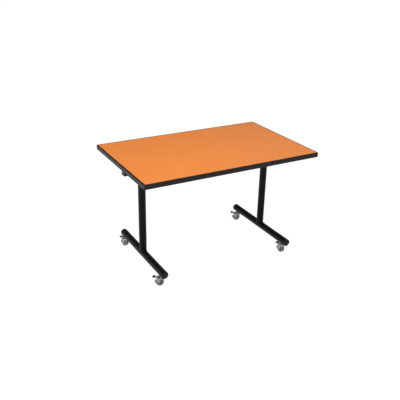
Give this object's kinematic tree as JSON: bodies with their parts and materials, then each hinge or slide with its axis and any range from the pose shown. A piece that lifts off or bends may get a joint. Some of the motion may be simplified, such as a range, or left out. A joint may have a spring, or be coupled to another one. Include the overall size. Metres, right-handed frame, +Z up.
{
  "type": "mobile folding table",
  "caption": "Mobile folding table: an orange laminate top that tilts upright for storage, on a tubular base with swivel casters, brake pedals and a slide lock under the top.",
  "frame": {"origin": "on the floor under the middle of the top", "axes": "+X along the table, +Y from front to rear, +Z up"},
  "size_m": [1.219, 0.762, 0.7366],
  "materials": {
    "laminate": "satin orange laminate",
    "board": "particle board",
    "backer": "dark grey backing sheet",
    "band": "black vinyl edge",
    "coat": "semi-gloss black powder coat",
    "plastic": "moulded black plastic",
    "rubber": "matt black rubber",
    "zinc": "bright zinc plate",
    "tyre": "olive grey caster tread",
    "hub": "grey moulded hub",
    "pedal": "pressed zinc-plated steel"
  },
  "bodies": {
    "base": {"beam": "coat", "beam_end_cap_left": "plastic", "beam_end_cap_right": "plastic", "hinge_base_leaf_left": "coat", "hinge_base_leaf_right": "coat", "hinge_pin_left": "zinc", "hinge_pin_right": "zinc", "stop_strip": "rubber", "tilt_bumper": "rubber", "lock_ear_left": "coat", "lock_ear_right": "coat", "leg_plate_left": "coat", "leg_plate_right": "coat", "leg_bolt_left_inner": "zinc", "leg_bolt_left_outer": "zinc", "leg_bolt_right_inner": "zinc", "leg_bolt_right_outer": "zinc", "column_left": "coat", "column_right": "coat", "foot_left": "coat", "foot_right": "coat", "foot_cap_front_left": "plastic", "foot_cap_front_right": "plastic", "foot_cap_rear_left": "plastic", "foot_cap_rear_right": "plastic", "caster_stem_front_left": "zinc", "caster_stem_front_right": "zinc", "caster_stem_rear_left": "zinc", "caster_stem_rear_right": "zinc"},
    "top": {"laminate_sheet": "laminate", "core_board": "board", "backer_sheet": "backer", "edge_band": "band", "hinge_top_leaf_left": "coat", "hinge_top_leaf_right": "coat", "rod_guide_left": "plastic", "rod_guide_right": "plastic"},
    "lock_bar": {"lock_rod": "zinc", "lock_handle": "coat", "handle_grip": "plastic"},
    "swivel_front_left": {"fork_front_left": "zinc", "axle_front_left": "zinc"},
    "swivel_front_right": {"fork_front_right": "zinc", "axle_front_right": "zinc"},
    "swivel_rear_left": {"fork_rear_left": "zinc", "axle_rear_left": "zinc"},
    "swivel_rear_right": {"fork_rear_right": "zinc", "axle_rear_right": "zinc"},
    "wheel_front_left": {"tyre_front_left": "tyre", "hub_front_left": "hub"},
    "wheel_front_right": {"tyre_front_right": "tyre", "hub_front_right": "hub"},
    "wheel_rear_left": {"tyre_rear_left": "tyre", "hub_rear_left": "hub"},
    "wheel_rear_right": {"tyre_rear_right": "tyre", "hub_rear_right": "hub"},
    "pedal_front_left": {"brake_pedal_front_left": "pedal"},
    "pedal_front_right": {"brake_pedal_front_right": "pedal"},
    "pedal_rear_left": {"brake_pedal_rear_left": "pedal"},
    "pedal_rear_right": {"brake_pedal_rear_right": "pedal"}
  },
  "joints": [
    {"name": "top_tilt", "type": "hinge", "parent": "base", "child": "top", "pos_m": [0, -0.0273, 0.6993], "axis": [1, 0, 0], "range_deg": [0, 90]},
    {"name": "lock_slide", "type": "slide", "parent": "top", "child": "lock_bar", "axis": [1, 0, 0], "range_m": [0, 0.012]},
    {"name": "caster_swivel_front_left", "type": "hinge", "parent": "base", "child": "swivel_front_left", "pos_m": [-0.4595, -0.284, 0.06], "axis": [0, 0, 1], "continuous": true},
    {"name": "caster_swivel_front_right", "type": "hinge", "parent": "base", "child": "swivel_front_right", "pos_m": [0.4595, -0.284, 0.06], "axis": [0, 0, 1], "continuous": true},
    {"name": "caster_swivel_rear_left", "type": "hinge", "parent": "base", "child": "swivel_rear_left", "pos_m": [-0.4595, 0.284, 0.06], "axis": [0, 0, 1], "continuous": true},
    {"name": "caster_swivel_rear_right", "type": "hinge", "parent": "base", "child": "swivel_rear_right", "pos_m": [0.4595, 0.284, 0.06], "axis": [0, 0, 1], "continuous": true},
    {"name": "wheel_spin_front_left", "type": "hinge", "parent": "swivel_front_left", "child": "wheel_front_left", "pos_m": [-0.47065, -0.27396, 0.025], "axis": [0.6691, 0.7431, 0], "continuous": true},
    {"name": "wheel_spin_front_right", "type": "hinge", "parent": "swivel_front_right", "child": "wheel_front_right", "pos_m": [0.4569, -0.26923, 0.025], "axis": [0.9848, 0.1736, 0], "continuous": true},
    {"name": "wheel_spin_rear_left", "type": "hinge", "parent": "swivel_rear_left", "child": "wheel_rear_left", "pos_m": [-0.46463, 0.2981, 0.025], "axis": [0.9397, 0.342, 0], "continuous": true},
    {"name": "wheel_spin_rear_right", "type": "hinge", "parent": "swivel_rear_right", "child": "wheel_rear_right", "pos_m": [0.44946, 0.29515, 0.025], "axis": [0.7431, 0.6691, 0], "continuous": true},
    {"name": "brake_press_front_left", "type": "hinge", "parent": "swivel_front_left", "child": "pedal_front_left", "pos_m": [-0.48179, -0.26393, 0.0536], "axis": [-0.6691, -0.7431, 0], "range_deg": [0, 6]},
    {"name": "brake_press_front_right", "type": "hinge", "parent": "swivel_front_right", "child": "pedal_front_right", "pos_m": [0.45429, -0.25446, 0.0536], "axis": [-0.9848, -0.1736, 0], "range_deg": [0, 6]},
    {"name": "brake_press_rear_left", "type": "hinge", "parent": "swivel_rear_left", "child": "pedal_rear_left", "pos_m": [-0.46976, 0.31219, 0.0536], "axis": [-0.9397, -0.342, 0], "range_deg": [0, 6]},
    {"name": "brake_press_rear_right", "type": "hinge", "parent": "swivel_rear_right", "child": "pedal_rear_right", "pos_m": [0.43943, 0.30629, 0.0536], "axis": [-0.7431, -0.6691, 0], "range_deg": [0, 6]}
  ]
}
